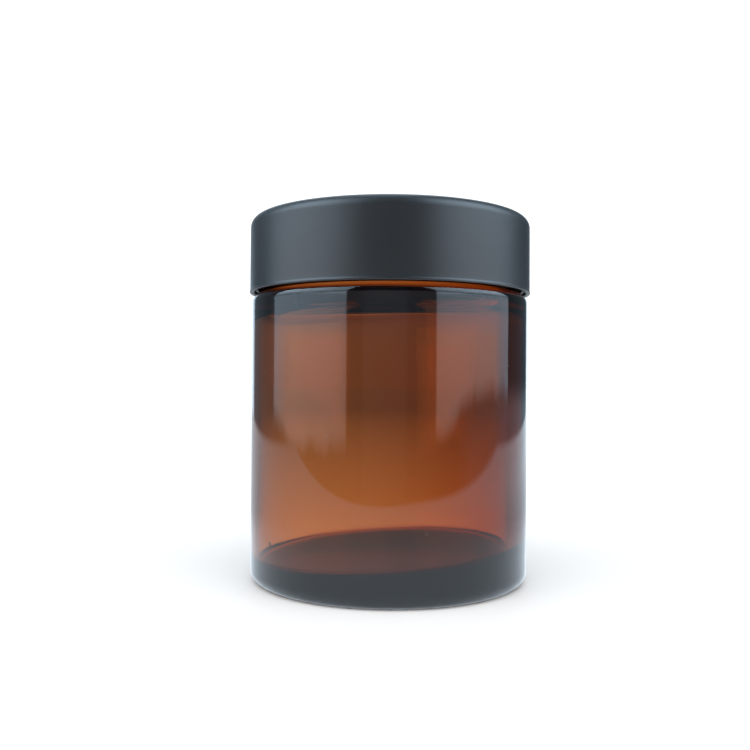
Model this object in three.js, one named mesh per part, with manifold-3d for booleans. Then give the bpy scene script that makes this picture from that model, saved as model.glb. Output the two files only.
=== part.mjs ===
// A straight-sided glass cream jar with a double-walled screw lid, a foam liner in the
// lid and a sealing disc that lifts out of the mouth.
// Millimetres, +Z up, origin at the centre of the jar's foot.
import * as THREE from 'three';
import { mergeVertices } from 'three/addons/utils/BufferGeometryUtils.js';
import Module from 'manifold-3d';

const wasm = await Module();
wasm.setup();

// Glass jar: heights are above the surface it stands on
const jarRadius = 36.5;
const jarWall = 3.5;
const jarTop = 88.8;
const heelRadius = 3.2;
const shoulderTop = 75.2;
const shoulderRadius = 2.4;
const innerShoulderStart = 67.8;
const innerShoulderRise = 8.4;
const floorHeight = 7.8;
const floorFillet = 1.6;
const footInnerRadius = 29.5;
const pushUpHeight = 1.3;
const neckRootRadius = 33.5;
const neckBoreRadius = 30.8;
const neckFillet = 0.4;
const lipOuterRound = 0.8;
const lipInnerRound = 0.6;

// Thread: six turns to the inch, right-handed
const threadPitch = 25.4 / 6;
const threadTurns = 1.25;
const threadDepth = 1.2;
const threadCrestWidth = 0.9;
const threadBaseWidth = 2.5;
const threadRunOut = 0.07;
const threadRow = threadPitch / 8;
const jarThreadLow = 81.2;
const lidThreadFirstTurn = -0.35;

// Lid shell: heights follow from the rim and the top
const rimHeight = 75.3;
const lidTop = 95.2;
const lidRimRadius = 37.12;
const lidDraft = THREE.MathUtils.degToRad(0.15);
const lidFillet = 2.7;
const lidTopWall = 1.5;
const shellBoreRadius = 36.05;
const rimBead = 0.12;
const rimBeadHeight = 0.65;
const rimRound = 0.25;

// Lid insert, foam liner and sealing disc
const insertRadius = 35.75;
const insertBoreRadius = 35.05;
const insertRimHeight = 76.1;
const insertCeiling = 91;
const insertTopWall = 1.1;
const ribHeight = 1.3;
const ribWidth = 1;
const ribRadii = [33, 15];
const linerRadius = 34.4;
const linerThickness = 1;
const discFlangeRadius = 33.2;
const discPlugRadius = 30.35;
const discWall = 0.9;
const discDepth = 2.4;
const restGap = 0.1;
const gripRadius = 8;
const gripWidth = 1.4;
const gripOffset = 10;

const segments = 48;
const arcSteps = 4;
const fullTurn = 2 * Math.PI;

// Points of a round stretch of an outline, angles in degrees
function arc(centreRadius, centreHeight, radius, from, to, steps = arcSteps) {
  const points = [];
  for (let step = 0; step <= steps; step += 1) {
    const angle = THREE.MathUtils.degToRad(from + ((to - from) * step) / steps);
    const across = centreRadius + radius * Math.cos(angle);
    points.push([across, centreHeight + radius * Math.sin(angle)]);
  }
  return points;
}

// Rows of points down or up a straight wall, close enough to carry the thread
function threadRows(radius, from, to) {
  const count = Math.round(Math.abs(to - from) / threadRow);
  const points = [];
  for (let row = 0; row <= count; row += 1) {
    points.push([radius, from + ((to - from) * row) / count]);
  }
  return points;
}

// Turns an outline into a closed solid with only positions left
function turned(outline) {
  const points = outline.map(([radius, height]) => new THREE.Vector2(radius, height));
  const lathe = new THREE.LatheGeometry(points, segments);
  lathe.rotateX(Math.PI / 2);
  lathe.deleteAttribute('normal');
  lathe.deleteAttribute('uv');
  return withoutSlivers(mergeVertices(lathe, 1e-3));
}

// Drops the flat triangles that a lathe leaves on its axis
function withoutSlivers(geometry) {
  const corners = Array.from(geometry.index.array);
  const kept = [];
  for (let at = 0; at < corners.length; at += 3) {
    const [a, b, c] = corners.slice(at, at + 3);
    if (a !== b && b !== c && c !== a) {
      kept.push(a, b, c);
    }
  }
  geometry.setIndex(kept);
  return geometry;
}

// How far the thread's ridge stands out of its wall at one angle and height
function ridgeRise(angle, height, thread) {
  let rise = 0;
  for (let lap = -1; lap <= 2; lap += 1) {
    const along = angle / fullTurn + lap - thread.firstTurn;
    const centre = thread.low + threadPitch * along;
    const flankWidth = (threadBaseWidth - threadCrestWidth) / 2;
    const flank = (threadBaseWidth / 2 - Math.abs(height - centre)) / flankWidth;
    const runOut = Math.min(along, threadTurns - along) / threadRunOut;
    const share = THREE.MathUtils.clamp(flank, 0, 1) * THREE.MathUtils.clamp(runOut, 0, 1);
    rise = Math.max(rise, threadDepth * share);
  }
  return rise;
}

// Pushes the points of one wall outwards, or inwards on a bore, into a thread
function cutThread(geometry, wallRadius, thread) {
  const position = geometry.attributes.position;
  for (let at = 0; at < position.count; at += 1) {
    const x = position.getX(at);
    const y = position.getY(at);
    if (Math.abs(Math.hypot(x, y) - wallRadius) < 1e-3) {
      const rise = ridgeRise(Math.atan2(y, x), position.getZ(at), thread);
      const scale = (wallRadius + thread.side * rise) / wallRadius;
      position.setX(at, x * scale);
      position.setY(at, y * scale);
    }
  }
  return geometry;
}

function solidOf(geometry) {
  const vertProperties = new Float32Array(geometry.attributes.position.array);
  const triVerts = new Uint32Array(geometry.index.array);
  return new wasm.Manifold(new wasm.Mesh({ numProp: 3, vertProperties, triVerts }));
}

function geometryOf(solid) {
  const mesh = solid.getMesh();
  const geometry = new THREE.BufferGeometry();
  const positions = new THREE.BufferAttribute(new Float32Array(mesh.vertProperties), 3);
  geometry.setAttribute('position', positions);
  geometry.setIndex(Array.from(mesh.triVerts));
  return geometry;
}

function finish(color, roughness, extra = {}) {
  return new THREE.MeshStandardMaterial({ color, roughness, metalness: 0, ...extra });
}

function part(name, geometry, material) {
  geometry.computeVertexNormals();
  const mesh = new THREE.Mesh(geometry, material);
  mesh.name = name;
  return mesh;
}

// Thick-based amber jar, its foot hollowed by a shallow push-up
function glassJar() {
  const pushUp = [0, 0.4, 0.7, 0.88, 1].map((share) => {
    return [share * footInnerRadius, pushUpHeight * (1 - share ** 2)];
  });
  const innerRadius = jarRadius - jarWall;
  const innerShoulder = [];
  for (let step = 0; step <= arcSteps + 2; step += 1) {
    const share = 1 - step / (arcSteps + 2);
    const inwards = THREE.MathUtils.smoothstep(share, 0, 1);
    const radius = THREE.MathUtils.lerp(innerRadius, neckBoreRadius, inwards);
    innerShoulder.push([radius, innerShoulderStart + innerShoulderRise * share]);
  }
  const threadHalf = threadBaseWidth / 2;
  const threadHigh = jarThreadLow + threadPitch * threadTurns + threadHalf;
  const outline = [
    ...pushUp,
    ...arc(jarRadius - heelRadius, heelRadius, heelRadius, -90, 0),
    ...arc(jarRadius - shoulderRadius, shoulderTop - shoulderRadius, shoulderRadius, 0, 90),
    [neckRootRadius, shoulderTop + neckFillet],
    ...threadRows(neckRootRadius, jarThreadLow - threadHalf, threadHigh),
    ...arc(neckRootRadius - lipOuterRound, jarTop - lipOuterRound, lipOuterRound, 0, 90, 3),
    ...arc(neckBoreRadius + lipInnerRound, jarTop - lipInnerRound, lipInnerRound, 90, 180, 3),
    ...innerShoulder,
    ...arc(innerRadius - floorFillet, floorHeight + floorFillet, floorFillet, 0, -90),
    [0, floorHeight],
  ];
  const thread = { firstTurn: 0, low: jarThreadLow, side: 1 };
  const amber = finish(0x8a4a1c, 0.06, { transparent: true, opacity: 0.55 });
  return part('glass_jar', cutThread(turned(outline), neckRootRadius, thread), amber);
}

// Smooth outer shell of the lid, with draft, a rounded top edge and a fine bead on its rim
function capShell() {
  const ceiling = lidTop - lidTopWall;
  const beadTop = rimHeight + rimBeadHeight;
  const beadRadius = lidRimRadius + rimBead;
  const filletStart = lidTop - lidFillet;
  const topRadius = lidRimRadius - (filletStart - rimHeight) * Math.tan(lidDraft);
  const outline = [
    [0, ceiling],
    [shellBoreRadius - rimRound, ceiling],
    [shellBoreRadius, ceiling - rimRound],
    [shellBoreRadius, rimHeight + rimRound],
    [shellBoreRadius + rimRound, rimHeight],
    ...arc(beadRadius - rimRound, rimHeight + rimRound, rimRound, -90, 0, 2),
    [beadRadius, beadTop - rimRound],
    [lidRimRadius, beadTop],
    ...arc(topRadius - lidFillet, filletStart, lidFillet, 0, 90, 5),
    [0, lidTop],
  ];
  return part('cap_shell', turned(outline), finish(0x24282d, 0.55));
}

// Threaded insert of the lid, with ring ribs that carry the shell's top
function capInsert() {
  const top = insertCeiling + insertTopWall;
  const ribs = ribRadii.flatMap((radius) => [
    [radius + ribWidth, top],
    [radius + ribWidth, top + ribHeight],
    [radius, top + ribHeight],
    [radius, top],
  ]);
  const low = jarThreadLow + threadPitch * (lidThreadFirstTurn - 0.5);
  const threadHalf = threadBaseWidth / 2;
  const high = low + threadPitch * threadTurns;
  const outline = [
    [0, insertCeiling],
    [insertBoreRadius, insertCeiling],
    ...threadRows(insertBoreRadius, high + threadHalf, low - threadHalf),
    [insertBoreRadius + rimRound, insertRimHeight],
    [insertRadius, insertRimHeight],
    [insertRadius, top],
    ...ribs,
    [0, top],
  ];
  const thread = { firstTurn: lidThreadFirstTurn, low, side: -1 };
  return part('cap_insert', cutThread(turned(outline), insertBoreRadius, thread), finish(0x1f2226, 0.5));
}

function foamLiner(bottom) {
  const outline = [
    [0, bottom],
    [linerRadius, bottom],
    [linerRadius, bottom + linerThickness],
    [0, bottom + linerThickness],
  ];
  return part('foam_liner', turned(outline), finish(0xf2f1ec, 0.9));
}

// Dished disc that closes the mouth, with a curved finger grip standing in the dish
function sealingDisc(flangeBottom) {
  const plateBottom = flangeBottom - discDepth;
  const plateTop = plateBottom + discWall;
  const flangeTop = flangeBottom + discWall;
  const dishRadius = discPlugRadius - discWall;
  const dish = solidOf(turned([
    [0, plateBottom],
    [discPlugRadius - rimRound, plateBottom],
    [discPlugRadius, plateBottom + rimRound],
    [discPlugRadius, flangeBottom],
    [discFlangeRadius, flangeBottom],
    [discFlangeRadius, flangeTop],
    [dishRadius, flangeTop],
    [dishRadius, plateTop],
    [0, plateTop],
  ]));
  const grip = new THREE.Shape();
  grip.absarc(0, 0, gripRadius, 0, Math.PI, false);
  grip.absarc(0, 0, gripRadius - gripWidth, Math.PI, 0, true);
  const height = flangeTop - plateTop - restGap;
  const bar = new THREE.ExtrudeGeometry(grip, {
    depth: height + discWall / 2,
    bevelEnabled: false,
    curveSegments: 12,
  });
  bar.translate(0, gripOffset, plateTop - discWall / 2);
  bar.deleteAttribute('normal');
  bar.deleteAttribute('uv');
  const disc = dish.add(solidOf(mergeVertices(bar, 1e-3)));
  return part('sealing_disc', geometryOf(disc), finish(0xe9e7e0, 0.45));
}

const flangeBottom = jarTop + restGap;
const linerBottom = insertCeiling - restGap - linerThickness;

const jar = new THREE.Group();
jar.add(glassJar());
jar.add(sealingDisc(flangeBottom));

const lid = new THREE.Group();
lid.add(foamLiner(linerBottom));
lid.add(capInsert());
lid.add(capShell());

const creamJar = new THREE.Group();
creamJar.add(jar, lid);

export default creamJar;
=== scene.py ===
import math
import random

import bpy
import bmesh
from mathutils import Matrix, Vector


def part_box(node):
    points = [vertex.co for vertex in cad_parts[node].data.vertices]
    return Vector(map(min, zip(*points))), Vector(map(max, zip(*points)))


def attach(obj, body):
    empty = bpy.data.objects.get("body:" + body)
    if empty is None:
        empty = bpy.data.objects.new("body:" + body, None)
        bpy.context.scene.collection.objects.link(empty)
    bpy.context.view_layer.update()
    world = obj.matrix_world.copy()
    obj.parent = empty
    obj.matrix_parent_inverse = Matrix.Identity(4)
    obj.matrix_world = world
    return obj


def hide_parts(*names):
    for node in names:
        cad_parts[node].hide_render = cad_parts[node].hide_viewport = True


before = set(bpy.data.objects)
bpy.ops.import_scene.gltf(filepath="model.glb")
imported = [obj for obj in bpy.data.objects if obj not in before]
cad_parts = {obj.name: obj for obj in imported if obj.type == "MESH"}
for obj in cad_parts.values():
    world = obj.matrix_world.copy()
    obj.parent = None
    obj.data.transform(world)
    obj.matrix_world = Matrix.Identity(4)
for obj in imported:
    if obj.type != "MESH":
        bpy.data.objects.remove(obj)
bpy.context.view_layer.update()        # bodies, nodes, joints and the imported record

# Amber glass cream jar with a matte screw lid, seen on a white table by two tall windows.
mm = 0.001
threadPitch = 25.4 / 6 * mm
scene = bpy.context.scene

jarLow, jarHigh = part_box("glass_jar")
shellLow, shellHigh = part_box("cap_shell")
insertLow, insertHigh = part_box("cap_insert")
linerLow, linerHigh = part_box("foam_liner")
discLow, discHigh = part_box("sealing_disc")


def arcPoints(centreRadius, centreHeight, radius, fromAngle, toAngle, steps=8):
    points = []
    for step in range(steps + 1):
        angle = math.radians(fromAngle + (toAngle - fromAngle) * step / steps)
        points.append((centreRadius + radius * math.cos(angle), centreHeight + radius * math.sin(angle)))
    return points


def straightRun(start, end, steps, hold=0.06 * mm):
    # a straight stretch, held close to both ends so that it stays flat beside a rounding
    length = math.dist(start, end)
    shares = [hold / length] + [step / steps for step in range(1, steps)] + [1 - hold / length]
    return [(start[0] + (end[0] - start[0]) * s, start[1] + (end[1] - start[1]) * s) for s in shares]


def easeRun(start, end, steps):
    # an S-shaped stretch, upright at both ends
    points = []
    for step in range(1, steps):
        share = step / steps
        eased = share * share * (3 - 2 * share)
        points.append((start[0] + (end[0] - start[0]) * eased, start[1] + (end[1] - start[1]) * share))
    return points


def feed(tree, socket, value):
    if isinstance(value, bpy.types.NodeSocket):
        tree.links.new(value, socket)
    elif value is not None:
        socket.default_value = value


def maths(tree, operation, *values, clamp=False):
    node = tree.nodes.new("ShaderNodeMath")
    node.operation = operation
    node.use_clamp = clamp
    for socket, value in zip(node.inputs, values):
        feed(tree, socket, value)
    return node.outputs[0]


def ramp(tree, value, fromLow, fromHigh, toLow=0.0, toHigh=1.0, kind="SMOOTHSTEP"):
    node = tree.nodes.new("ShaderNodeMapRange")
    node.interpolation_type = kind
    for socket, given in zip(node.inputs, (value, fromLow, fromHigh, toLow, toHigh)):
        feed(tree, socket, given)
    return node.outputs[0]


def noise(tree, vector, scale, detail=2.0, roughness=0.5):
    node = tree.nodes.new("ShaderNodeTexNoise")
    feed(tree, node.inputs["Vector"], vector)
    feed(tree, node.inputs["Scale"], scale)
    feed(tree, node.inputs["Detail"], detail)
    feed(tree, node.inputs["Roughness"], roughness)
    return node.outputs[0]


def combine(tree, x, y, z):
    node = tree.nodes.new("ShaderNodeCombineXYZ")
    for socket, value in zip(node.inputs, (x, y, z)):
        feed(tree, socket, value)
    return node.outputs[0]


def separate(tree, vector):
    node = tree.nodes.new("ShaderNodeSeparateXYZ")
    feed(tree, node.inputs[0], vector)
    return node.outputs


turnedInputs = (
    ("Outline", "NodeSocketObject", None),
    ("Segments", "NodeSocketInt", 360),
    ("Thread Wall", "NodeSocketFloat", 0.0),
    ("Thread Low", "NodeSocketFloat", 0.0),
    ("Thread Pitch", "NodeSocketFloat", threadPitch),
    ("Thread Turns", "NodeSocketFloat", 1.25),
    ("Thread Start", "NodeSocketFloat", 0.0),
    ("Thread Depth", "NodeSocketFloat", 0.0),
    ("Thread Crest", "NodeSocketFloat", 0.9 * mm),
    ("Thread Base", "NodeSocketFloat", 2.5 * mm),
    ("Rib Wall", "NodeSocketFloat", 0.0),
    ("Rib Count", "NodeSocketInt", 0),
    ("Rib Height", "NodeSocketFloat", 0.0),
    ("Foot Inner", "NodeSocketFloat", 0.0),
    ("Foot Outer", "NodeSocketFloat", 0.0),
    ("Foot Bars", "NodeSocketInt", 0),
    ("Foot Bar Height", "NodeSocketFloat", 0.0),
    ("Bore Radius", "NodeSocketFloat", 0.0),
    ("Bore Waviness", "NodeSocketFloat", 0.0),
    ("Bore Shift", "NodeSocketFloat", 0.0),
    ("Floor Height", "NodeSocketFloat", 0.0),
    ("Floor Tilt X", "NodeSocketFloat", 0.0),
    ("Floor Tilt Y", "NodeSocketFloat", 0.0),
    ("Seam Wall", "NodeSocketFloat", 0.0),
    ("Seam Height", "NodeSocketFloat", 0.0),
    ("Seam Angle", "NodeSocketFloat", 0.0),
    ("Material", "NodeSocketMaterial", None),
)


def ridgeRise(tree, given, angle, height):
    # how far a screw ridge stands out: the nearest lap of the helix, its flanks and its run-outs
    turn = maths(tree, "SUBTRACT", maths(tree, "DIVIDE", angle, 2 * math.pi), given["Thread Start"])
    climbed = maths(tree, "SUBTRACT", height, given["Thread Low"])
    climbed = maths(tree, "DIVIDE", climbed, given["Thread Pitch"])
    lap = maths(tree, "ROUND", maths(tree, "SUBTRACT", climbed, turn))
    along = maths(tree, "ADD", turn, lap)
    offset = maths(tree, "MULTIPLY", maths(tree, "SUBTRACT", climbed, along), given["Thread Pitch"])
    halfBase = maths(tree, "MULTIPLY", given["Thread Base"], 0.5)
    halfCrest = maths(tree, "MULTIPLY", given["Thread Crest"], 0.5)
    flank = ramp(tree, maths(tree, "ABSOLUTE", offset), halfBase, halfCrest)
    left = maths(tree, "SUBTRACT", given["Thread Turns"], along)
    runOut = ramp(tree, maths(tree, "MINIMUM", along, left), 0.0, 0.07)
    return maths(tree, "MULTIPLY", maths(tree, "MULTIPLY", flank, runOut), given["Thread Depth"])


def nearWall(tree, radius, wall, reach=0.02 * mm):
    # one on the wall of that radius and nought elsewhere; a wall of nought is no wall
    close = maths(tree, "COMPARE", radius, wall, reach)
    return maths(tree, "MULTIPLY", close, maths(tree, "GREATER_THAN", wall, mm))


def turnedTree():
    tree = bpy.data.node_groups.new("turnedBody", "GeometryNodeTree")
    tree.interface.new_socket("Geometry", in_out="INPUT", socket_type="NodeSocketGeometry")
    for name, kind, default in turnedInputs:
        socket = tree.interface.new_socket(name, in_out="INPUT", socket_type=kind)
        if default is not None:
            socket.default_value = default
    tree.interface.new_socket("Geometry", in_out="OUTPUT", socket_type="NodeSocketGeometry")
    given = tree.nodes.new("NodeGroupInput").outputs
    new = tree.nodes.new
    link = tree.links.new

    outline = new("GeometryNodeObjectInfo")
    link(given["Outline"], outline.inputs["Object"])
    size = new("GeometryNodeAttributeDomainSize")
    link(outline.outputs["Geometry"], size.inputs["Geometry"])
    columns = maths(tree, "ADD", given["Segments"], 1)
    grid = new("GeometryNodeMeshGrid")
    link(size.outputs["Point Count"], grid.inputs["Vertices X"])
    link(columns, grid.inputs["Vertices Y"])

    index = new("GeometryNodeInputIndex").outputs[0]
    row = maths(tree, "FLOOR", maths(tree, "DIVIDE", maths(tree, "ADD", index, 0.5), columns))
    column = maths(tree, "SUBTRACT", index, maths(tree, "MULTIPLY", row, columns))
    sample = new("GeometryNodeSampleIndex")
    sample.data_type = "FLOAT_VECTOR"
    link(outline.outputs["Geometry"], sample.inputs["Geometry"])
    link(new("GeometryNodeInputPosition").outputs[0], sample.inputs["Value"])
    link(row, sample.inputs["Index"])
    point = separate(tree, sample.outputs[0])
    radius, height = point[0], point[2]
    share = maths(tree, "DIVIDE", column, given["Segments"])
    angle = maths(tree, "MULTIPLY", maths(tree, "FLOORED_MODULO", share, 1.0), -2 * math.pi)
    cosine = maths(tree, "COSINE", angle)
    sine = maths(tree, "SINE", angle)

    ridge = ridgeRise(tree, given, angle, height)
    rise = maths(tree, "MULTIPLY", ridge, nearWall(tree, radius, given["Thread Wall"]))
    ribs = maths(tree, "COSINE", maths(tree, "MULTIPLY", angle, given["Rib Count"]))
    ribs = maths(tree, "MULTIPLY", ramp(tree, ribs, 0.2, 0.9), given["Rib Height"])
    rise = maths(tree, "ADD", rise, maths(tree, "MULTIPLY", ribs, nearWall(tree, radius, given["Rib Wall"])))

    # mould seam: a hairline ridge on two opposite sides of the body
    around = maths(tree, "SUBTRACT", angle, given["Seam Angle"])
    off = maths(tree, "ABSOLUTE", maths(tree, "SINE", around))
    seam = maths(tree, "MULTIPLY", ramp(tree, off, 0.014, 0.0), given["Seam Height"])
    rise = maths(tree, "ADD", rise, maths(tree, "MULTIPLY", seam, nearWall(tree, radius, given["Seam Wall"])))

    # the bore of blown glass is never true: a slow wave, mostly along the jar
    isBore = maths(tree, "LESS_THAN", radius, maths(tree, "ADD", given["Bore Radius"], 0.01 * mm))
    isBore = maths(tree, "MULTIPLY", isBore, maths(tree, "GREATER_THAN", given["Bore Radius"], mm))
    aboveFloor = maths(tree, "GREATER_THAN", height, maths(tree, "MULTIPLY", given["Floor Height"], 0.9))
    isBore = maths(tree, "MULTIPLY", isBore, aboveFloor)
    wavePlace = combine(tree, maths(tree, "MULTIPLY", cosine, 0.034), maths(tree, "MULTIPLY", sine, 0.034),
                        maths(tree, "MULTIPLY", height, 0.35))
    wave = maths(tree, "SUBTRACT", noise(tree, wavePlace, 55.0, 1.0), 0.5)
    inBody = ramp(tree, height, 0.95 * jarHigh.z, 0.75 * jarHigh.z)
    wave = maths(tree, "MULTIPLY", wave, given["Bore Waviness"])
    wave = maths(tree, "MULTIPLY", wave, maths(tree, "MULTIPLY", isBore, inBody))
    wave = maths(tree, "MULTIPLY", wave, ramp(tree, radius, 0.3 * 0.034, 0.9 * 0.034))
    finalRadius = maths(tree, "ADD", maths(tree, "ADD", radius, rise), wave)

    # foot: fine bars round the bearing ring
    inside = ramp(tree, radius, given["Foot Inner"], maths(tree, "ADD", given["Foot Inner"], 0.5 * mm))
    outside = ramp(tree, radius, given["Foot Outer"], maths(tree, "SUBTRACT", given["Foot Outer"], 0.5 * mm))
    inRing = maths(tree, "MULTIPLY", inside, outside)
    inRing = maths(tree, "MULTIPLY", inRing, maths(tree, "LESS_THAN", height, 0.1 * mm))
    bars = ramp(tree, maths(tree, "COSINE", maths(tree, "MULTIPLY", angle, given["Foot Bars"])), 0.1, -0.5)
    barLift = maths(tree, "MULTIPLY", maths(tree, "MULTIPLY", bars, inRing), given["Foot Bar Height"])

    # the cavity sits off centre and its floor slopes
    y = maths(tree, "MULTIPLY", finalRadius, sine)
    shift = maths(tree, "MULTIPLY", maths(tree, "MULTIPLY", given["Bore Shift"], isBore),
                  ramp(tree, height, 0.86 * jarHigh.z, 0.74 * jarHigh.z))
    x = maths(tree, "MULTIPLY_ADD", finalRadius, cosine, shift)
    low = ramp(tree, height, maths(tree, "MULTIPLY", given["Floor Height"], 4.0),
               maths(tree, "MULTIPLY", given["Floor Height"], 1.2))
    tilt = maths(tree, "MULTIPLY", y, given["Floor Tilt Y"])
    tilt = maths(tree, "MULTIPLY_ADD", x, given["Floor Tilt X"], tilt)
    tilt = maths(tree, "MULTIPLY", maths(tree, "MULTIPLY", tilt, isBore), low)
    finalHeight = maths(tree, "ADD", maths(tree, "ADD", height, barLift), tilt)

    place = new("GeometryNodeSetPosition")
    link(grid.outputs["Mesh"], place.inputs["Geometry"])
    link(combine(tree, x, y, finalHeight), place.inputs["Position"])
    merge = new("GeometryNodeMergeByDistance")
    link(place.outputs[0], merge.inputs["Geometry"])
    merge.inputs["Distance"].default_value = 1e-6
    smooth = new("GeometryNodeSetShadeSmooth")
    link(merge.outputs[0], smooth.inputs["Geometry"])
    real = new("GeometryNodeRealizeInstances")
    link(smooth.outputs[0], real.inputs["Geometry"])
    paint = new("GeometryNodeSetMaterial")
    link(real.outputs[0], paint.inputs["Geometry"])
    link(given["Material"], paint.inputs["Material"])
    link(paint.outputs[0], new("NodeGroupOutput").inputs["Geometry"])
    return tree


turnedBody = turnedTree()


def outlineObject(points):
    mesh = bpy.data.meshes.new("outline")
    mesh.from_pydata([(radius, 0.0, height) for radius, height in points],
                     [(at, at + 1) for at in range(len(points) - 1)], [])
    thing = bpy.data.objects.new("outline", mesh)
    scene.collection.objects.link(thing)
    return thing


def turned(name, points, material, **values):
    # runs the tree on an empty mesh and keeps the plain result
    outline = outlineObject(points)
    host = bpy.data.objects.new(name + "Host", bpy.data.meshes.new(name + "Host"))
    scene.collection.objects.link(host)
    modifier = host.modifiers.new("turned", "NODES")
    modifier.node_group = turnedBody
    sockets = {item.name: item.identifier for item in turnedBody.interface.items_tree
               if item.item_type == "SOCKET" and item.in_out == "INPUT"}
    modifier[sockets["Outline"]] = outline
    modifier[sockets["Material"]] = material
    for key, value in values.items():
        modifier[sockets[key.replace("_", " ")]] = value
    host.update_tag()
    bpy.context.view_layer.update()
    depsgraph = bpy.context.evaluated_depsgraph_get()
    mesh = bpy.data.meshes.new_from_object(host.evaluated_get(depsgraph))
    mesh.name = name
    piece = bpy.data.objects.new(name, mesh)
    scene.collection.objects.link(piece)
    for spent in (host, outline):
        bpy.data.objects.remove(spent)
    return piece


def newMaterial(name):
    material = bpy.data.materials.new(name)
    material.use_nodes = True
    tree = material.node_tree
    return material, tree, tree.nodes["Principled BSDF"]


def objectPlace(tree):
    return tree.nodes.new("ShaderNodeTexCoord").outputs["Object"]


def scaled(tree, vector, x, y, z):
    node = tree.nodes.new("ShaderNodeMapping")
    feed(tree, node.inputs["Vector"], vector)
    node.inputs["Scale"].default_value = (x, y, z)
    return node.outputs[0]


def bump(tree, height, strength, distance, normal=None):
    node = tree.nodes.new("ShaderNodeBump")
    feed(tree, node.inputs["Height"], height)
    node.inputs["Strength"].default_value = strength
    node.inputs["Distance"].default_value = distance
    feed(tree, node.inputs["Normal"], normal)
    return node.outputs[0]


def mixColours(tree, share, first, second):
    node = tree.nodes.new("ShaderNodeMix")
    node.data_type = "RGBA"
    feed(tree, node.inputs["Factor"], share)
    feed(tree, node.inputs["A"], first)
    feed(tree, node.inputs["B"], second)
    return node.outputs["Result"]


def mixNumbers(tree, share, first, second):
    node = tree.nodes.new("ShaderNodeMix")
    node.data_type = "FLOAT"
    feed(tree, node.inputs["Factor"], share)
    feed(tree, node.inputs["A"], first)
    feed(tree, node.inputs["B"], second)
    return node.outputs["Result"]


amber = {
    "absorption": (116.0, 322.0, 555.0),   # per metre, for red, green and blue
    "ior": 1.52,
    "waveStrength": 0.25,
    "waveHeight": 0.02 * mm,
}


def amberGlass():
    material, tree, shader = newMaterial("amberGlass")
    shader.inputs["Base Color"].default_value = (1, 1, 1, 1)
    shader.inputs["Roughness"].default_value = 0.0
    shader.inputs["IOR"].default_value = amber["ior"]
    shader.inputs["Transmission Weight"].default_value = 1.0
    place = objectPlace(tree)
    slow = noise(tree, scaled(tree, place, 1, 1, 0.18), 130.0, 2.0)
    feed(tree, shader.inputs["Normal"], bump(tree, slow, amber["waveStrength"], amber["waveHeight"]))
    density = 1.1 * max(amber["absorption"])
    absorb = tree.nodes.new("ShaderNodeVolumeAbsorption")
    absorb.inputs["Color"].default_value = (*[1 - part / density for part in amber["absorption"]], 1)
    absorb.inputs["Density"].default_value = density
    tree.links.new(absorb.outputs[0], tree.nodes["Material Output"].inputs["Volume"])
    return material


lidFinish = {
    "colour": (0.005, 0.0072, 0.0098, 1),
    "scuffColour": (0.03, 0.034, 0.04, 1),
    "roughness": 0.4,
    "grain": 0.03 * mm,
}


def mattePlastic():
    material, tree, shader = newMaterial("matteBlackPlastic")
    place = objectPlace(tree)
    grain = noise(tree, place, 5200.0, 3.0, 0.6)
    cloud = noise(tree, place, 60.0, 3.0, 0.55)
    scuffs = ramp(tree, noise(tree, scaled(tree, place, 1, 1, 2.2), 210.0, 4.0, 0.65), 0.66, 0.8)
    scuffs = maths(tree, "MULTIPLY", scuffs, 0.35)
    colour = mixColours(tree, scuffs, lidFinish["colour"], lidFinish["scuffColour"])
    feed(tree, shader.inputs["Base Color"], colour)
    rough = maths(tree, "ADD", ramp(tree, cloud, 0.3, 0.7, -0.03, 0.03), lidFinish["roughness"])
    feed(tree, shader.inputs["Roughness"], rough)
    shader.inputs["IOR"].default_value = 1.5
    shader.inputs["Specular IOR Level"].default_value = 0.75
    feed(tree, shader.inputs["Normal"], bump(tree, grain, 0.35, lidFinish["grain"]))
    return material


insertFinish = {
    "darker": (0.012, 0.013, 0.015, 1),
    "paler": (0.022, 0.023, 0.026, 1),
    "roughness": (0.32, 0.42),
}


def insertPlastic():
    material, tree, shader = newMaterial("blackInsertPlastic")
    place = objectPlace(tree)
    cloud = noise(tree, place, 90.0, 3.0)
    flow = noise(tree, scaled(tree, place, 1, 1, 0.15), 900.0, 2.0)
    colour = mixColours(tree, cloud, insertFinish["darker"], insertFinish["paler"])
    feed(tree, shader.inputs["Base Color"], colour)
    feed(tree, shader.inputs["Roughness"], ramp(tree, cloud, 0.3, 0.7, *insertFinish["roughness"]))
    feed(tree, shader.inputs["Normal"], bump(tree, flow, 0.2, 0.02 * mm))
    return material


foamFinish = {
    "darker": (0.80, 0.79, 0.76, 1),
    "paler": (0.88, 0.875, 0.85, 1),
    "roughness": 0.85,
}


def linerFoam():
    material, tree, shader = newMaterial("whiteFoam")
    place = objectPlace(tree)
    cells = tree.nodes.new("ShaderNodeTexVoronoi")
    feed(tree, cells.inputs["Vector"], place)
    cells.inputs["Scale"].default_value = 2600.0
    cloud = noise(tree, place, 220.0, 3.0)
    colour = mixColours(tree, cloud, foamFinish["darker"], foamFinish["paler"])
    feed(tree, shader.inputs["Base Color"], colour)
    shader.inputs["Roughness"].default_value = foamFinish["roughness"]
    shader.inputs["Subsurface Weight"].default_value = 0.15
    shader.inputs["Subsurface Radius"].default_value = (1.0, 1.0, 1.0)
    shader.inputs["Subsurface Scale"].default_value = 0.5 * mm
    feed(tree, shader.inputs["Normal"], bump(tree, cells.outputs["Distance"], 0.4, 0.05 * mm))
    return material


# painted shade: the sealing disc is coloured near black instead of its own white, so that the neck seen
# through the glass under the lid stays dark as if shaded; the two tones only vary it at random
discPaintedShadeFinish = {
    "darker": (0.018, 0.019, 0.022, 1),
    "paler": (0.026, 0.027, 0.03, 1),
    "roughness": (0.38, 0.48),
}


# painted shade: the disc is near black all over, standing in for the shade under the lid
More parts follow.
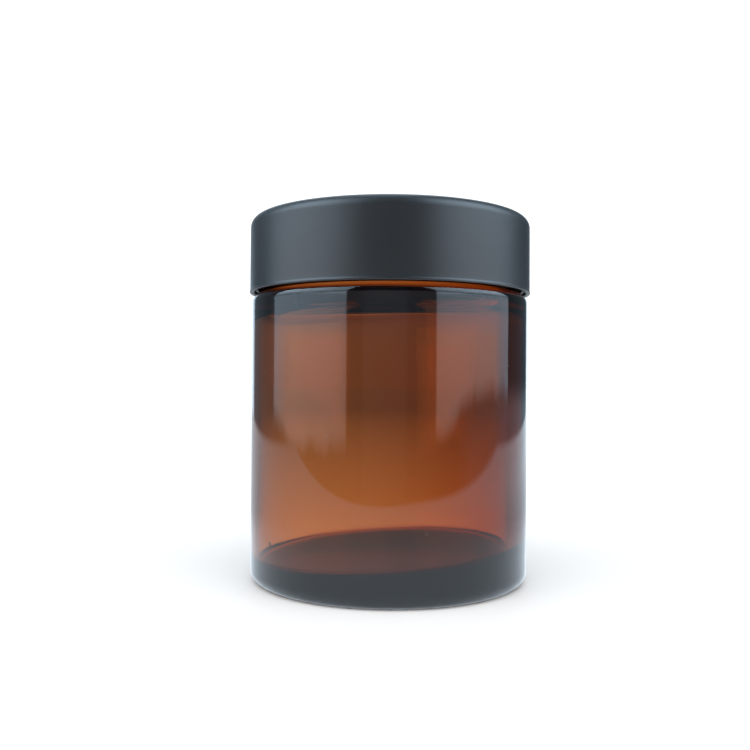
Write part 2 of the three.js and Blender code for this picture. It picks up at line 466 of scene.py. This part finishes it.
def discPaintedShadePlastic():
    material, tree, shader = newMaterial("discPaintedShadeBlack")
    place = objectPlace(tree)
    cloud = noise(tree, place, 120.0, 3.0)
    fine = noise(tree, place, 2400.0, 2.0)
    colour = mixColours(tree, cloud, discPaintedShadeFinish["darker"], discPaintedShadeFinish["paler"])
    feed(tree, shader.inputs["Base Color"], colour)
    feed(tree, shader.inputs["Roughness"], ramp(tree, cloud, 0.3, 0.7, *discPaintedShadeFinish["roughness"]))
    feed(tree, shader.inputs["Normal"], bump(tree, fine, 0.15, 0.02 * mm))
    return material


glass = {
    "wall": 3.5 * mm,
    "heel": 3.2 * mm,
    "shoulderTop": 75.2 * mm,
    "shoulderRound": 2.4 * mm,
    "neckRoot": 33.5 * mm,
    "neckBore": 30.8 * mm,
    "neckFillet": 0.4 * mm,
    "innerShoulderStart": 67.8 * mm,
    "innerShoulderRise": 8.4 * mm,
    "floor": 7.8 * mm,
    "floorFillet": 1.6 * mm,
    "floorTilt": (0.065, 0.0),       # the floor rises to the right
    "boreShift": -1.0 * mm,          # the blown cavity sits a little to the left
    "boreWave": 0.3 * mm,
    "seamAngle": math.radians(-100.0),
    "seamHeight": 0.03 * mm,
    "footInner": 29.5 * mm,
    "pushUp": 1.3 * mm,
    "lipOuter": 0.8 * mm,
    "lipInner": 0.6 * mm,
    "threadLow": 81.2 * mm,
    "threadDepth": 1.2 * mm,
    "segments": 360,
}


def glassOutline():
    radius, top = jarHigh.x, jarHigh.z
    inner = radius - glass["wall"]
    foot = radius - glass["heel"]
    fillet = glass["floorFillet"]
    steps = 14
    points = [(0.0, glass["pushUp"])]
    for step in range(1, steps):
        share = step / steps
        points.append((share * glass["footInner"], glass["pushUp"] * (1 - share * share)))
    points.append((glass["footInner"], 0.0))
    points += straightRun((glass["footInner"], 0.0), (foot, 0.0), 8)
    points += arcPoints(foot, glass["heel"], glass["heel"], -90, 0, 12)
    rounding = glass["shoulderRound"]
    shoulderStart = glass["shoulderTop"] - rounding
    points += straightRun((radius, glass["heel"]), (radius, shoulderStart), 16)
    points += arcPoints(radius - rounding, shoulderStart, rounding, 0, 90, 12)
    points += arcPoints(glass["neckRoot"] + glass["neckFillet"], glass["shoulderTop"] + glass["neckFillet"],
                        glass["neckFillet"], -90, -180, 4)[1:]
    points += straightRun((glass["neckRoot"], glass["shoulderTop"] + glass["neckFillet"]),
                          (glass["neckRoot"], top - glass["lipOuter"]), 56)
    lipOuter, lipInner = glass["lipOuter"], glass["lipInner"]
    points += arcPoints(glass["neckRoot"] - lipOuter, top - lipOuter, lipOuter, 0, 90, 8)
    points += straightRun((glass["neckRoot"] - lipOuter, top), (glass["neckBore"] + lipInner, top), 2)
    points += arcPoints(glass["neckBore"] + lipInner, top - lipInner, lipInner, 90, 180, 6)
    shoulderEnd = glass["innerShoulderStart"] + glass["innerShoulderRise"]
    points += straightRun((glass["neckBore"], top - glass["lipInner"]), (glass["neckBore"], shoulderEnd), 6)
    points += easeRun((glass["neckBore"], shoulderEnd), (inner, glass["innerShoulderStart"]), 14)
    points += straightRun((inner, glass["innerShoulderStart"]), (inner, glass["floor"] + fillet), 24)
    points += arcPoints(inner - fillet, glass["floor"] + fillet, fillet, 0, -90, 12)
    for step in range(11, 0, -1):
        points.append(((inner - fillet) * step / 12, glass["floor"]))
    points.append((0.0, glass["floor"]))
    return points


seeds = {
    "main": (-144.0, 12.2 * mm, 0.42 * mm),      # angle, height and radius of the one large bubble
    "count": 16,
    "radii": (0.07 * mm, 0.15 * mm),
    "seed": 11,
}


def addSeeds(piece):
    # small bubbles left in the wall: inward-facing shells inside the glass
    chance = random.Random(seeds["seed"])
    bubbles = [seeds["main"]]
    for _ in range(seeds["count"]):
        angle = chance.uniform(-180, 180)
        height = chance.uniform(14, 64) * mm
        bubbles.append((angle, height, chance.uniform(*seeds["radii"])))
    work = bmesh.new()
    work.from_mesh(piece.data)
    for angle, height, radius in bubbles:
        out = jarHigh.x - 2.4 * radius - chance.uniform(0.0, 0.9) * mm
        turn = math.radians(angle)
        place = Matrix.Translation((out * math.cos(turn), out * math.sin(turn), height))
        made = bmesh.ops.create_icosphere(work, subdivisions=3, radius=radius,
                                          matrix=place @ Matrix.Diagonal((1, 1, chance.uniform(1.0, 1.5), 1)))
        faces = {face for vert in made["verts"] for face in vert.link_faces}
        bmesh.ops.reverse_faces(work, faces=list(faces))
        for face in faces:
            face.smooth = True
    work.to_mesh(piece.data)
    work.free()


def makeGlassJar():
    inner = jarHigh.x - glass["wall"]
    piece = turned(
        "amberGlassJar", glassOutline(), amberGlass(),
        Segments=glass["segments"],
        Thread_Wall=glass["neckRoot"], Thread_Low=glass["threadLow"], Thread_Depth=glass["threadDepth"],
        Foot_Inner=glass["footInner"], Foot_Outer=jarHigh.x - glass["heel"],
        Foot_Bars=90, Foot_Bar_Height=0.05 * mm,
        Bore_Radius=inner, Bore_Waviness=glass["boreWave"], Bore_Shift=glass["boreShift"],
        Floor_Height=glass["floor"], Floor_Tilt_X=glass["floorTilt"][0], Floor_Tilt_Y=glass["floorTilt"][1],
        Seam_Wall=jarHigh.x, Seam_Height=glass["seamHeight"], Seam_Angle=glass["seamAngle"],
    )
    addSeeds(piece)
    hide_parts("glass_jar")
    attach(piece, "jar")
    return piece


lid = {
    "fillet": 2.7 * mm,
    "draft": math.radians(0.15),
    "bore": 36.05 * mm,
    "topWall": 1.5 * mm,
    "bead": 0.12 * mm,
    "beadHeight": 0.65 * mm,
    "rimRound": 0.25 * mm,
    "segments": 256,
}


def shellOutline():
    rim, top = shellLow.z, shellHigh.z
    bead = shellHigh.x
    side = bead - lid["bead"]
    ceiling = top - lid["topWall"]
    filletStart = top - lid["fillet"]
    topRadius = side - (filletStart - rim) * math.tan(lid["draft"])
    rounding = lid["rimRound"]
    points = [(0.0, ceiling)] + straightRun((0.0, ceiling), (lid["bore"] - 2 * rounding, ceiling), 8)[1:]
    points += arcPoints(lid["bore"] - 2 * rounding, ceiling - 2 * rounding, 2 * rounding, 90, 0, 5)
    points += straightRun((lid["bore"], ceiling - 2 * rounding), (lid["bore"], rim + rounding), 10)
    points += arcPoints(lid["bore"] + rounding, rim + rounding, rounding, 180, 270, 5)
    points += straightRun((lid["bore"] + rounding, rim), (bead - rounding, rim), 2)
    points += arcPoints(bead - rounding, rim + rounding, rounding, -90, 0, 6)
    points += [(bead, rim + rounding + 0.05 * mm)]
    points += easeRun((bead, rim + rounding + 0.1 * mm), (side, rim + lid["beadHeight"] + 0.15 * mm), 6)
    points += straightRun((side, rim + lid["beadHeight"] + 0.15 * mm), (topRadius, filletStart), 14)
    points += arcPoints(topRadius - lid["fillet"], filletStart, lid["fillet"], 0, 90, 14)
    points += straightRun((topRadius - lid["fillet"], top), (0.0, top), 14)[:-1]
    points.append((0.0, top))
    return points


def makeCapShell():
    piece = turned("matteLidShell", shellOutline(), mattePlastic(), Segments=lid["segments"])
    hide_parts("cap_shell")
    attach(piece, "cap")
    return piece


insert = {
    "bore": 35.05 * mm,
    "ceiling": 91.0 * mm,
    "ribTop": 1.3 * mm,
    "ribWidth": 1.0 * mm,
    "ribRadii": (33 * mm, 15 * mm),
    "threadTurn": -0.35,
    "threadDepth": -1.2 * mm,
    "edge": 0.15 * mm,
}


def insertOutline():
    rim = insertLow.z
    outer = insertHigh.x
    top = insertHigh.z - insert["ribTop"]
    edge = insert["edge"]
    bore = insert["bore"]
    points = [(0.0, insert["ceiling"])]
    points += straightRun((0.0, insert["ceiling"]), (bore - 2 * edge, insert["ceiling"]), 8)[1:]
    points += arcPoints(bore - 2 * edge, insert["ceiling"] - 2 * edge, 2 * edge, 90, 0, 4)
    points += straightRun((bore, insert["ceiling"] - 2 * edge), (bore, rim + edge), 64)
    points += arcPoints(bore + edge, rim + edge, edge, 180, 270, 4)
    points += straightRun((bore + edge, rim), (outer - edge, rim), 1)
    points += arcPoints(outer - edge, rim + edge, edge, -90, 0, 4)
    points += straightRun((outer, rim + edge), (outer, top - edge), 12)
    points += arcPoints(outer - edge, top - edge, edge, 0, 90, 3)
    for radius in insert["ribRadii"]:
        right = radius + insert["ribWidth"]
        points += [(right + 0.05 * mm, top), (right, top + 0.05 * mm), (right, insertHigh.z - 0.05 * mm),
                   (right - 0.05 * mm, insertHigh.z), (radius + 0.05 * mm, insertHigh.z),
                   (radius, insertHigh.z - 0.05 * mm), (radius, top + 0.05 * mm), (radius - 0.05 * mm, top)]
    points.append((0.0, top))
    return points


def makeCapInsert():
    piece = turned(
        "threadedInsert", insertOutline(), insertPlastic(), Segments=288,
        Thread_Wall=insert["bore"], Thread_Depth=insert["threadDepth"], Thread_Start=insert["threadTurn"],
        Thread_Low=glass["threadLow"] + threadPitch * (insert["threadTurn"] - 0.5),
    )
    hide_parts("cap_insert")
    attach(piece, "cap")
    return piece


liner = {
    "edge": 0.12 * mm,
    "groove": 0.12 * mm,
    "grooveWidth": 3.2 * mm,
}


def makeFoamLiner():
    radius = linerHigh.x
    low, high = linerLow.z, linerHigh.z
    edge, width = liner["edge"], liner["grooveWidth"]
    lipCentre = (glass["neckRoot"] + glass["neckBore"]) / 2
    points = [(0.0, low)]
    points += straightRun((0.0, low), (lipCentre - width / 2, low), 8)[1:]
    for step in range(1, 12):                       # the ring that the disc's flange presses into it
        share = step / 12
        rise = liner["groove"] * math.sin(math.pi * share) ** 2
        points.append((lipCentre + (share - 0.5) * width, low + rise))
    points += straightRun((lipCentre + width / 2, low), (radius - edge, low), 2)
    points += arcPoints(radius - edge, low + edge, edge, -90, 0, 4)
    points += arcPoints(radius - edge, high - edge, edge, 0, 90, 4)
    points += straightRun((radius - edge, high), (0.0, high), 8)[:-1]
    points.append((0.0, high))
    piece = turned("foamLiner", points, linerFoam(), Segments=192)
    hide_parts("foam_liner")
    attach(piece, "liner")
    return piece


disc = {
    "plug": 30.35 * mm,
    "wall": 0.9 * mm,
    "depth": 2.4 * mm,
    "edge": 0.15 * mm,
    "gripRadius": 8 * mm,
    "gripWidth": 1.4 * mm,
    "gripOffset": 10 * mm,
    "gripGap": 0.1 * mm,
}


def discOutline():
    edge, wall = disc["edge"], disc["wall"]
    flange = discHigh.x
    plateLow = discLow.z
    flangeLow = plateLow + disc["depth"]
    flangeTop = discHigh.z
    plateTop = plateLow + wall
    dish = disc["plug"] - wall
    points = [(0.0, plateLow)] + straightRun((0.0, plateLow), (disc["plug"] - 2 * edge, plateLow), 8)[1:]
    points += arcPoints(disc["plug"] - 2 * edge, plateLow + 2 * edge, 2 * edge, -90, 0, 5)
    points += straightRun((disc["plug"], plateLow + 2 * edge), (disc["plug"], flangeLow - edge), 3)
    points += arcPoints(disc["plug"] + edge, flangeLow - edge, edge, 180, 90, 4)
    points += straightRun((disc["plug"] + edge, flangeLow), (flange - 2 * edge, flangeLow), 2)
    points += arcPoints(flange - 2 * edge, flangeLow + 2 * edge, 2 * edge, -90, 0, 4)
    points += arcPoints(flange - 2 * edge, flangeTop - 2 * edge, 2 * edge, 0, 90, 4)
    points += straightRun((flange - 2 * edge, flangeTop), (dish + 2 * edge, flangeTop), 3)
    points += arcPoints(dish + 2 * edge, flangeTop - 2 * edge, 2 * edge, 90, 180, 4)
    points += straightRun((dish, flangeTop - 2 * edge), (dish, plateTop + 2 * edge), 2)
    points += arcPoints(dish - 2 * edge, plateTop + 2 * edge, 2 * edge, 0, -90, 4)
    points += straightRun((dish - 2 * edge, plateTop), (0.0, plateTop), 8)[:-1]
    points.append((0.0, plateTop))
    return points


def gripBar():
    # half-ring bar that a finger nail lifts, cut square at both ends, with a rounded top edge
    work = bmesh.new()
    low = discLow.z + disc["wall"] / 2
    high = discHigh.z - disc["gripGap"]
    middle = disc["gripRadius"] - disc["gripWidth"] / 2
    half = disc["gripWidth"] / 2
    steps = 40
    rings = []
    for step in range(steps + 1):
        angle = math.pi * step / steps
        centre = Vector((middle * math.cos(angle), disc["gripOffset"] + middle * math.sin(angle), 0))
        outward = Vector((math.cos(angle), math.sin(angle), 0))
        ring = []
        for across, up in [(half, 0.0), (half, 0.8), (0.8 * half, 0.93), (0.4 * half, 1.0),
                           (-0.4 * half, 1.0), (-0.8 * half, 0.93), (-half, 0.8), (-half, 0.0)]:
            place = centre + outward * across
            ring.append(work.verts.new((place.x, place.y, low + (high - low) * up)))
        rings.append(ring)
    for first, second in zip(rings, rings[1:]):
        for at in range(len(first)):
            nextAt = (at + 1) % len(first)
            work.faces.new((first[at], first[nextAt], second[nextAt], second[at]))
    work.faces.new(rings[0][::-1])
    work.faces.new(rings[-1])
    bmesh.ops.recalc_face_normals(work, faces=work.faces)
    mesh = bpy.data.meshes.new("grip")
    work.to_mesh(mesh)
    work.free()
    thing = bpy.data.objects.new("grip", mesh)
    scene.collection.objects.link(thing)
    return thing


def makeSealingDisc():
    plain = turned("plainDisc", discOutline(), discPaintedShadePlastic(), Segments=192)
    grip = gripBar()
    join = plain.modifiers.new("grip", "BOOLEAN")
    join.operation = "UNION"
    join.solver = "EXACT"
    join.object = grip
    bpy.context.view_layer.update()
    depsgraph = bpy.context.evaluated_depsgraph_get()
    mesh = bpy.data.meshes.new_from_object(plain.evaluated_get(depsgraph))
    piece = bpy.data.objects.new("sealingDisc", mesh)
    scene.collection.objects.link(piece)
    for spent in (plain, grip):
        bpy.data.objects.remove(spent)
    for face in mesh.polygons:
        face.use_smooth = True
    mesh.set_sharp_from_angle(angle=math.radians(40))
    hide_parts("sealing_disc")
    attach(piece, "disc")
    return piece


print("making the jar")
makeGlassJar()
print("making the lid")
makeCapShell()
makeCapInsert()
makeFoamLiner()
print("making the sealing disc")
makeSealingDisc()

room = {
    "backdrop": 1.25,            # brightness of the white room, as seen directly
    "mirrorBackdrop": 1.25,      # as seen in a reflection off the back of the jar
    "throughBackdrop": 0.262,     # as seen through the amber glass
    "dark": 0.26,                # the room behind the camera
    "panel": 0.1,               # and a paler wall in the middle of it
    "panelFrom": -19.0,
    "panelTo": 14.0,
    "window": 1.75,
    "windowSpans": ((-107.0, -34.0, -4.2), (37.5, 112.0, -0.5)),   # azimuths, then the sill's elevation
    "windowPeaks": (66.0, 82.0),     # the brightest azimuth, low down and higher up
    "strips": (0.2, 0.13),
    "backdropFrom": (-151.0, 158.0),
    "tableGlowNear": 1.4,           # painted glow of the white table in a reflection, near the jar and farther off
    "tableGlowFar": 0.88,
    "tableSides": 0.505,         # how far it reaches to the left and right, in metres
    "keyLight": 1.75,            # soft light from the front for everything that is not a mirror
    "fillLight": 0.72,
}


def makeTable():
    size = 6.0
    mesh = bpy.data.meshes.new("table")
    corners = [(-size, -size), (size, -size), (size, size), (-size, size)]
    mesh.from_pydata([(x, y, -0.02 * mm) for x, y in corners], [], [(0, 1, 2, 3)])
    table = bpy.data.objects.new("table", mesh)
    scene.collection.objects.link(table)
    material, tree, shader = newMaterial("whiteTable")
    place = separate(tree, objectPlace(tree))
    x, y = place[0], place[1]
    shader.inputs["Base Color"].default_value = (0.86, 0.865, 0.865, 1)
    shader.inputs["Roughness"].default_value = 0.6
    path = tree.nodes.new("ShaderNodeLightPath")
    mirrored = maths(tree, "GREATER_THAN", path.outputs["Glossy Depth"], 0.5)
    through = maths(tree, "GREATER_THAN", path.outputs["Transmission Depth"], 0.5)
    away = maths(tree, "SQRT", maths(tree, "MULTIPLY_ADD", x, x, maths(tree, "MULTIPLY", y, y)))

    # the table's near edge has a blunt corner in front of the jar
    along = maths(tree, "SUBTRACT", x, 0.07)
    bend = maths(tree, "SQRT", maths(tree, "MULTIPLY_ADD", along, along, 0.004))
    edge = maths(tree, "MULTIPLY_ADD", along, 0.19, maths(tree, "MULTIPLY_ADD", bend, 0.375, -0.2245))
    blur = maths(tree, "MULTIPLY_ADD", maths(tree, "MAXIMUM", x, 0.0), 0.07, 0.008)
    beyond = ramp(tree, maths(tree, "SUBTRACT", y, edge), blur, maths(tree, "MULTIPLY", blur, -1.0))
    aside = ramp(tree, maths(tree, "ABSOLUTE", x), room["tableSides"] - 0.045, room["tableSides"] + 0.115)
    gone = maths(tree, "MULTIPLY", mirrored, maths(tree, "MAXIMUM", beyond, aside))

    # painted shadow: in what the glass reflects and lets through, the table is darkened to a fifth under the
    # jar's foot and just round it
    paintedShadowUnderJar = ramp(tree, away, jarHigh.x - 5 * mm, jarHigh.x + 1.5 * mm, 0.2, 1.0)
    # painted light: in reflections the table does not take light from the room but glows by itself, brightest
    # near the jar, fading farther off, weaker through the glass and brighter to the right
    paintedTableGlow = maths(tree, "MULTIPLY", ramp(tree, away, 0.06, 0.15, room["tableGlowNear"], room["tableGlowFar"]), paintedShadowUnderJar)
    # painted light: seen through the glass the table glows by itself too, dimmer farther from the jar
    seen = maths(tree, "MULTIPLY_ADD", maths(tree, "LOGARITHM", away, math.e), -0.3, 0.36)
    seen = maths(tree, "MINIMUM", maths(tree, "MAXIMUM", seen, room["throughBackdrop"]), 1.1)
    seen = maths(tree, "MULTIPLY", seen, paintedShadowUnderJar)
    paintedTableGlow = maths(tree, "MULTIPLY", paintedTableGlow, maths(tree, "MULTIPLY_ADD", through, -0.65, 1.0))
    paintedTableGlow = maths(tree, "MULTIPLY", paintedTableGlow, ramp(tree, x, 0.03, 0.25, 1.0, 1.45))
    # the emitter that carries the painted table glow, tinted blue
    paintedGlowShader = tree.nodes.new("ShaderNodeEmission")
    feed(tree, paintedGlowShader.inputs["Strength"], mixNumbers(tree, mirrored, seen, paintedTableGlow))
    paintedGlowShader.inputs["Color"].default_value = (0.88, 1.0, 1.12, 1)
    clear = tree.nodes.new("ShaderNodeBsdfTransparent")
    first = tree.nodes.new("ShaderNodeMixShader")
    feed(tree, first.inputs[0], maths(tree, "MAXIMUM", mirrored, through))
    tree.links.new(shader.outputs[0], first.inputs[1])
    tree.links.new(paintedGlowShader.outputs[0], first.inputs[2])
    second = tree.nodes.new("ShaderNodeMixShader")
    feed(tree, second.inputs[0], gone)
    tree.links.new(first.outputs[0], second.inputs[1])
    tree.links.new(clear.outputs[0], second.inputs[2])
    tree.links.new(second.outputs[0], tree.nodes["Material Output"].inputs["Surface"])
    mesh.materials.append(material)


def makeRoom():
    world = bpy.data.worlds.new("whiteRoom")
    scene.world = world
    world.use_nodes = True
    tree = world.node_tree
    background = tree.nodes["Background"]
    heading = tree.nodes.new("ShaderNodeTexCoord").outputs["Generated"]
    direction = separate(tree, heading)
    path = tree.nodes.new("ShaderNodeLightPath")
    mirrored = maths(tree, "GREATER_THAN", path.outputs["Glossy Depth"], 0.5)
    through = maths(tree, "GREATER_THAN", path.outputs["Transmission Depth"], 0.5)
    bearing = maths(tree, "ARCTAN2", direction[0], maths(tree, "MULTIPLY", direction[1], -1.0))
    bearing = maths(tree, "DEGREES", bearing)
    aside = maths(tree, "ABSOLUTE", bearing)
    height = maths(tree, "DEGREES", maths(tree, "ARCSINE", direction[2]))

    # what a mirror sees: two windows, a dim room behind the camera, the white room behind the jar
    ragged = maths(tree, "SUBTRACT", noise(tree, heading, 2.6, 3.0, 0.6), 0.5)
    dim = ramp(tree, height, -8.0, 8.0, 0.6, 1.35, "LINEAR")
    light = maths(tree, "MULTIPLY", ramp(tree, bearing, room["panelFrom"] - 1, room["panelFrom"] + 1),
                  ramp(tree, bearing, room["panelTo"] + 1, room["panelTo"] - 1))
    light = maths(tree, "MULTIPLY_ADD", light, room["panel"], room["dark"])
    light = maths(tree, "MULTIPLY", light, dim)
    light = maths(tree, "MULTIPLY", light, ramp(tree, aside, 114, 108))
    light = maths(tree, "MULTIPLY", light, ramp(tree, height, 8.0, 16.0, 1.0, 0.2))
    high = ramp(tree, height, 12.0, 26.0, 1.0, 2.0)
    high = maths(tree, "MULTIPLY", high, ramp(tree, height, 50.0, 72.0, 1.0, 0.15))
    for start, end, sill in room["windowSpans"]:
        span = ramp(tree, bearing, start - 1, start + 1)
        span = maths(tree, "MULTIPLY", span, ramp(tree, bearing, end + 1, end - 1))
        foot = maths(tree, "MULTIPLY_ADD", ragged, 3.5, height)
        if sill > -3:      # the right sill is hidden by low things farther out
            foot = maths(tree, "ADD", foot, ramp(tree, bearing, 40.0, 72.0, 3.0, 0.0))
        else:
            foot = maths(tree, "ADD", foot, ramp(tree, bearing, -82.0, -100.0, 0.0, -1.9))
        span = maths(tree, "MULTIPLY", span, ramp(tree, foot, sill - 1.1, sill + 1.1))
        peak = ramp(tree, height, 5.0, 9.0, *room["windowPeaks"])
        shade = maths(tree, "ABSOLUTE", maths(tree, "SUBTRACT", aside, peak))
        shade = maths(tree, "MULTIPLY", ramp(tree, shade, 8.0, 48.0, 1.12, 0.72), high)
        shade = maths(tree, "MULTIPLY", ramp(tree, height, -4.0, 5.5, 0.7, 1.0), shade)
        lintel = maths(tree, "MULTIPLY", ramp(tree, height, 5.85, 5.98), ramp(tree, height, 6.24, 6.16))
        shade = maths(tree, "MULTIPLY_ADD", lintel, 0.8, shade)
        below = ramp(tree, height, 6.28, 6.16)
        above = ramp(tree, height, 8.0, 11.0, 0.12, 1.0)
        shade = maths(tree, "MULTIPLY", shade, maths(tree, "MAXIMUM", below, above))
        light = maths(tree, "MULTIPLY_ADD", maths(tree, "MULTIPLY", span, shade), room["window"], light)
    low = maths(tree, "MULTIPLY", ramp(tree, bearing, 50.0, 75.0), ramp(tree, height, 0.5, -2.0, 0.0, 0.25))
    light = maths(tree, "ADD", light, low)
    leftBack = ramp(tree, bearing, room["backdropFrom"][0] + 4, room["backdropFrom"][0] - 4)
    rightBack = ramp(tree, bearing, room["backdropFrom"][1] - 4, room["backdropFrom"][1] + 4)
    behind = maths(tree, "ADD", leftBack, rightBack)
    behind = maths(tree, "MULTIPLY", behind, maths(tree, "MULTIPLY_ADD", through, -0.92, 1.0))
    light = maths(tree, "MULTIPLY_ADD", behind, room["mirrorBackdrop"], light)
    strips = ramp(tree, bearing, -10, 10, *room["strips"])
    light = maths(tree, "MULTIPLY_ADD", ramp(tree, aside, 108, 114), strips, light)

    # what lights everything else
    soft = maths(tree, "MULTIPLY_ADD", direction[1], -0.5, 0.5)
    soft = maths(tree, "MULTIPLY_ADD", ramp(tree, soft, 0.25, 0.9), room["keyLight"], room["fillLight"])
    camera = path.outputs["Is Camera Ray"]
    beyond = ramp(tree, height, 10.0, 30.0, room["throughBackdrop"], 0.45 * room["throughBackdrop"])
    shown = mixNumbers(tree, through, soft, beyond)
    shown = mixNumbers(tree, mirrored, shown, light)
    shown = mixNumbers(tree, camera, shown, room["backdrop"])
    feed(tree, background.inputs["Strength"], shown)
    warm = maths(tree, "MULTIPLY", ramp(tree, height, 5.2, 2.6), ramp(tree, aside, 108, 88))
    tint = mixColours(tree, warm, (0.78, 1.0, 1.2, 1), (1.18, 0.97, 0.88, 1))
    feed(tree, background.inputs["Color"], mixColours(tree, mirrored, (1, 1, 1, 1), tint))
    world.cycles.sampling_method = "NONE"


view = {
    "distance": 6.3245,      # in jar radii
    "eyeHeight": 1.4217,
    "turnLeft": 0.938,       # degrees
    "tiltUp": 0.524,
    "roll": 0.385,
    "lens": 41.196,          # on a 36 mm sensor
}


def makeCamera():
    camera = bpy.data.objects.new("camera", bpy.data.cameras.new("camera"))
    scene.collection.objects.link(camera)
    radius = jarHigh.x
    camera.location = (0, -view["distance"] * radius, view["eyeHeight"] * radius)
    turnMatrix = Matrix.Rotation(math.radians(view["turnLeft"]), 3, "Z")
    tiltMatrix = Matrix.Rotation(math.radians(90 + view["tiltUp"]), 3, "X")
    rollMatrix = Matrix.Rotation(math.radians(view["roll"]), 3, "Z")
    camera.rotation_euler = (turnMatrix @ tiltMatrix @ rollMatrix).to_euler()
    camera.data.sensor_width = 36
    camera.data.lens = view["lens"]
    camera.data.clip_start = 0.01
    scene.camera = camera


print("setting the table and the light")
makeTable()
makeRoom()
makeCamera()
scene.view_settings.view_transform = "Standard"
scene.cycles.max_bounces = 24
scene.cycles.transmission_bounces = 24
scene.cycles.glossy_bounces = 12
scene.cycles.diffuse_bounces = 4
